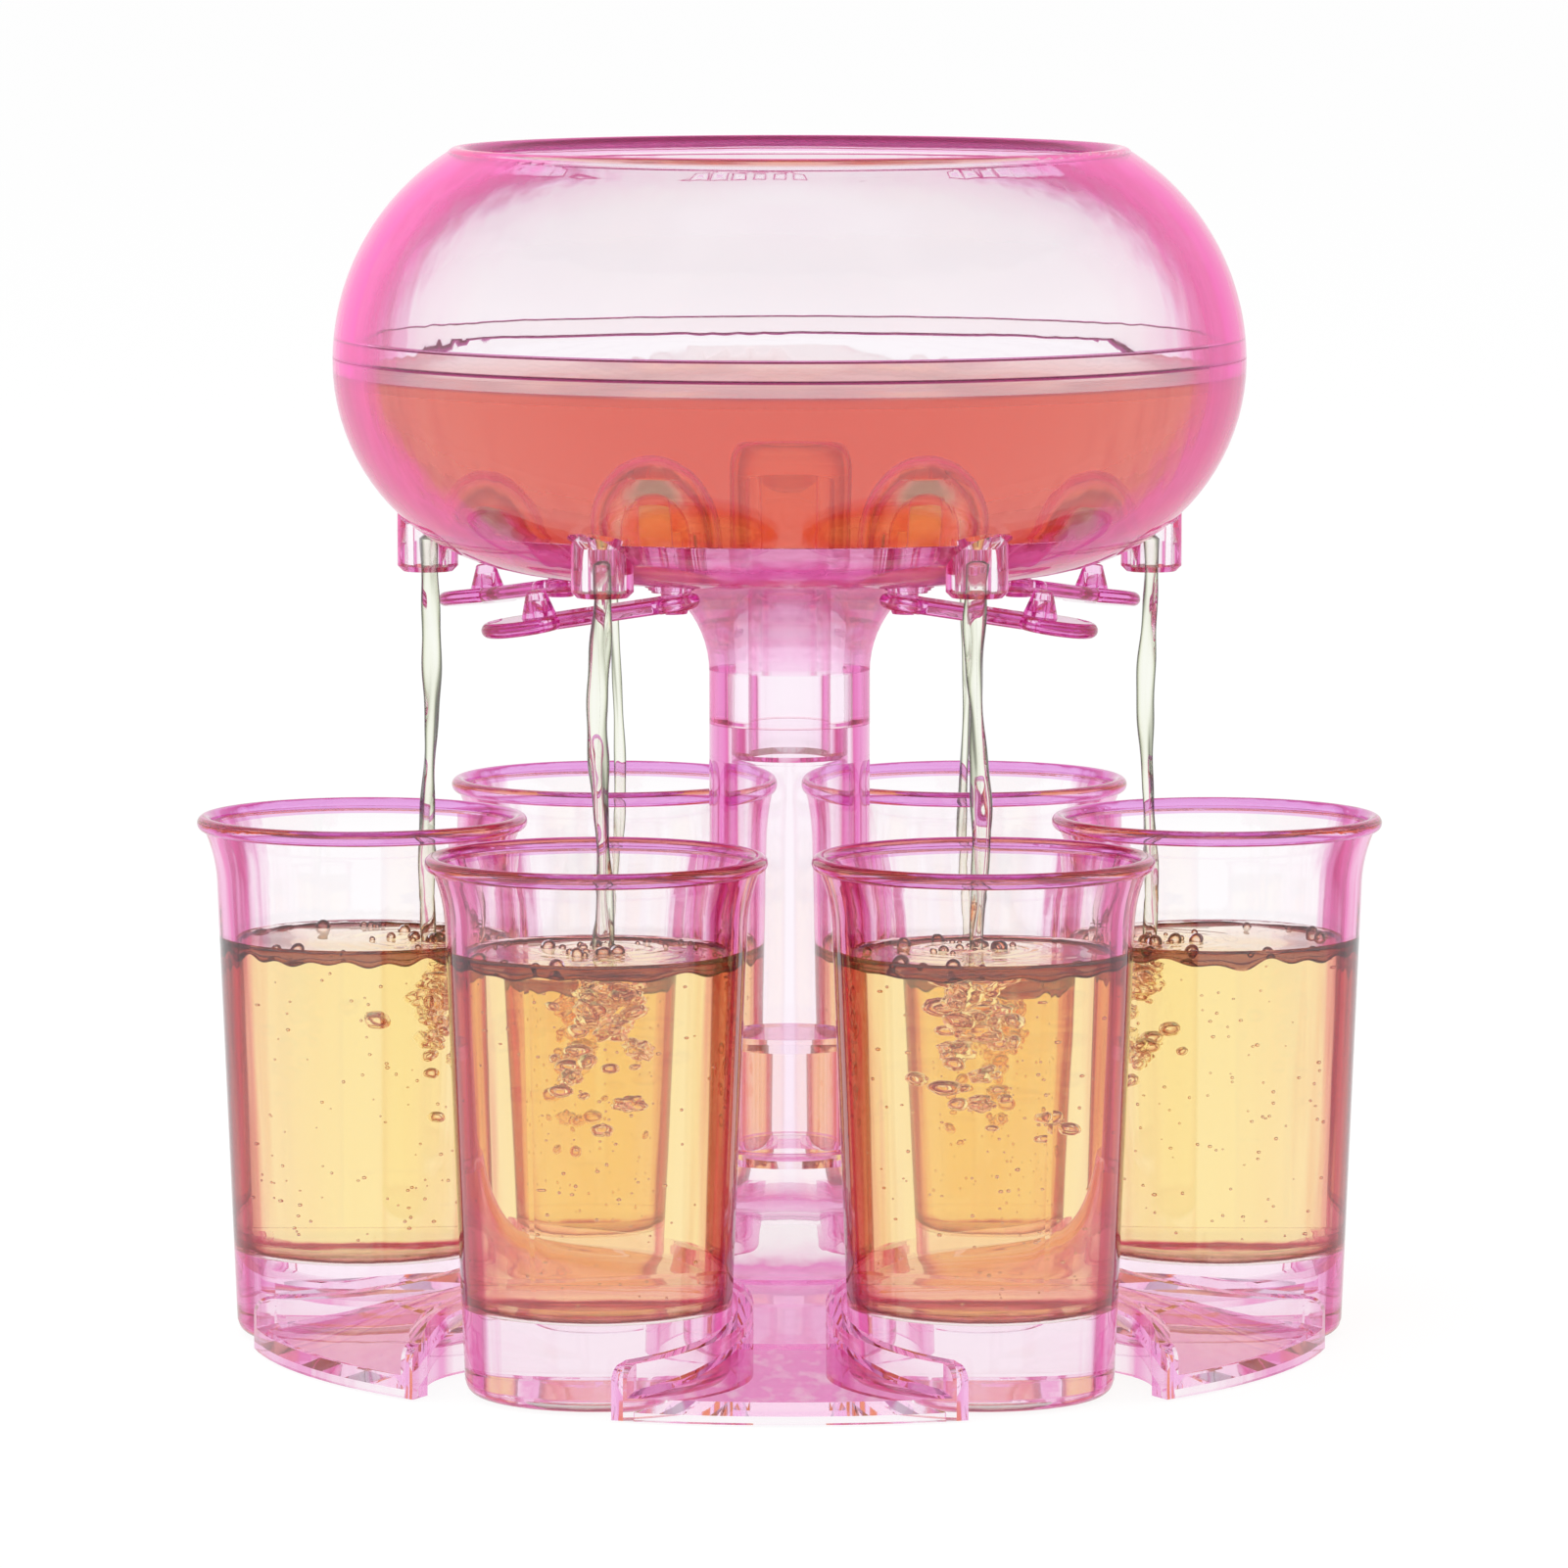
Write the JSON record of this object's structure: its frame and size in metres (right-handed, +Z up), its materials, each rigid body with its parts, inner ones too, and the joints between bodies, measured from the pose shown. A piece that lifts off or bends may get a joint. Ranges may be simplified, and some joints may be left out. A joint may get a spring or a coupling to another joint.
{
  "type": "party shot dispenser",
  "caption": "Clear round bowl on a column, with six nozzles and swing-away stoppers over six shot glasses that stand in a notched, flared base.",
  "frame": {"origin": "on the column's axis, at the level of the table that the base and the glasses stand on", "axes": "+Z up the column, +X through one side glass and its nozzle, -Y the front that the picture shows"},
  "size_m": [0.1722, 0.158, 0.1727],
  "materials": {
    "bowl_plastic": "clear pink, polished",
    "column_plastic": "clear pink, polished",
    "base_plastic": "clear pink, polished",
    "stopper_plastic": "clear deep pink, smooth",
    "glass_plastic": "clear pale pink, polished"
  },
  "bodies": {
    "stand": {"base": "base_plastic", "column_tube": "column_plastic"},
    "bowl": {"bowl_lower": "bowl_plastic", "bowl_upper": "bowl_plastic", "pivot_pins": "stopper_plastic"},
    "swivel_1": {"stopper_collar_1": "stopper_plastic"},
    "stopper_1": {"stopper_arm_1": "stopper_plastic"},
    "swivel_2": {"stopper_collar_2": "stopper_plastic"},
    "stopper_2": {"stopper_arm_2": "stopper_plastic"},
    "swivel_3": {"stopper_collar_3": "stopper_plastic"},
    "stopper_3": {"stopper_arm_3": "stopper_plastic"},
    "swivel_4": {"stopper_collar_4": "stopper_plastic"},
    "stopper_4": {"stopper_arm_4": "stopper_plastic"},
    "swivel_5": {"stopper_collar_5": "stopper_plastic"},
    "stopper_5": {"stopper_arm_5": "stopper_plastic"},
    "swivel_6": {"stopper_collar_6": "stopper_plastic"},
    "stopper_6": {"stopper_arm_6": "stopper_plastic"},
    "shot_1": {"glass_1": "glass_plastic"},
    "shot_2": {"glass_2": "glass_plastic"},
    "shot_3": {"glass_3": "glass_plastic"},
    "shot_4": {"glass_4": "glass_plastic"},
    "shot_5": {"glass_5": "glass_plastic"},
    "shot_6": {"glass_6": "glass_plastic"}
  },
  "joints": [
    {"name": "bowl_lift", "type": "slide", "parent": "stand", "child": "bowl", "axis": [0, 0, 1], "range_m": [0, 0.03]},
    {"name": "stopper_swing_1", "type": "hinge", "parent": "bowl", "child": "swivel_1", "pos_m": [0.0335, 0, 0.1095], "axis": [0, 0, -1], "range_deg": [-2, 55]},
    {"name": "stopper_press_1", "type": "hinge", "parent": "swivel_1", "child": "stopper_1", "pos_m": [0.0335, 0, 0.1095], "axis": [0.8192, -0.5736, 0], "range_deg": [0, 6.5]},
    {"name": "stopper_swing_2", "type": "hinge", "parent": "bowl", "child": "swivel_2", "pos_m": [0.01675, 0.02901, 0.1095], "axis": [0, 0, -1], "range_deg": [-8, 40]},
    {"name": "stopper_press_2", "type": "hinge", "parent": "swivel_2", "child": "stopper_2", "pos_m": [0.01675, 0.02901, 0.1095], "axis": [0.9848, 0.1736, 0], "range_deg": [0, 6.5]},
    {"name": "stopper_swing_3", "type": "hinge", "parent": "bowl", "child": "swivel_3", "pos_m": [-0.01675, 0.02901, 0.1095], "axis": [0, 0, 1], "range_deg": [-8, 40]},
    {"name": "stopper_press_3", "type": "hinge", "parent": "swivel_3", "child": "stopper_3", "pos_m": [-0.01675, 0.02901, 0.1095], "axis": [0.9848, -0.1736, 0], "range_deg": [0, 6.5]},
    {"name": "stopper_swing_4", "type": "hinge", "parent": "bowl", "child": "swivel_4", "pos_m": [-0.0335, 0, 0.1095], "axis": [0, 0, 1], "range_deg": [-2, 55]},
    {"name": "stopper_press_4", "type": "hinge", "parent": "swivel_4", "child": "stopper_4", "pos_m": [-0.0335, 0, 0.1095], "axis": [0.8192, 0.5736, 0], "range_deg": [0, 6.5]},
    {"name": "stopper_swing_5", "type": "hinge", "parent": "bowl", "child": "swivel_5", "pos_m": [-0.01675, -0.02901, 0.1095], "axis": [0, 0, 1], "range_deg": [-2, 55]},
    {"name": "stopper_press_5", "type": "hinge", "parent": "swivel_5", "child": "stopper_5", "pos_m": [-0.01675, -0.02901, 0.1095], "axis": [-0.0872, 0.9962, 0], "range_deg": [0, 6.5]},
    {"name": "stopper_swing_6", "type": "hinge", "parent": "bowl", "child": "swivel_6", "pos_m": [0.01675, -0.02901, 0.1095], "axis": [0, 0, -1], "range_deg": [-2, 55]},
    {"name": "stopper_press_6", "type": "hinge", "parent": "swivel_6", "child": "stopper_6", "pos_m": [0.01675, -0.02901, 0.1095], "axis": [-0.0872, -0.9962, 0], "range_deg": [0, 6.5]},
    {"name": "glass_lift_1", "type": "slide", "parent": "stand", "child": "shot_1", "axis": [0, 0, 1], "range_m": [0, 0.025]},
    {"name": "glass_lift_2", "type": "slide", "parent": "stand", "child": "shot_2", "axis": [0, 0, 1], "range_m": [0, 0.025]},
    {"name": "glass_lift_3", "type": "slide", "parent": "stand", "child": "shot_3", "axis": [0, 0, 1], "range_m": [0, 0.025]},
    {"name": "glass_lift_4", "type": "slide", "parent": "stand", "child": "shot_4", "axis": [0, 0, 1], "range_m": [0, 0.025]},
    {"name": "glass_lift_5", "type": "slide", "parent": "stand", "child": "shot_5", "axis": [0, 0, 1], "range_m": [0, 0.025]},
    {"name": "glass_lift_6", "type": "slide", "parent": "stand", "child": "shot_6", "axis": [0, 0, 1], "range_m": [0, 0.025]}
  ]
}
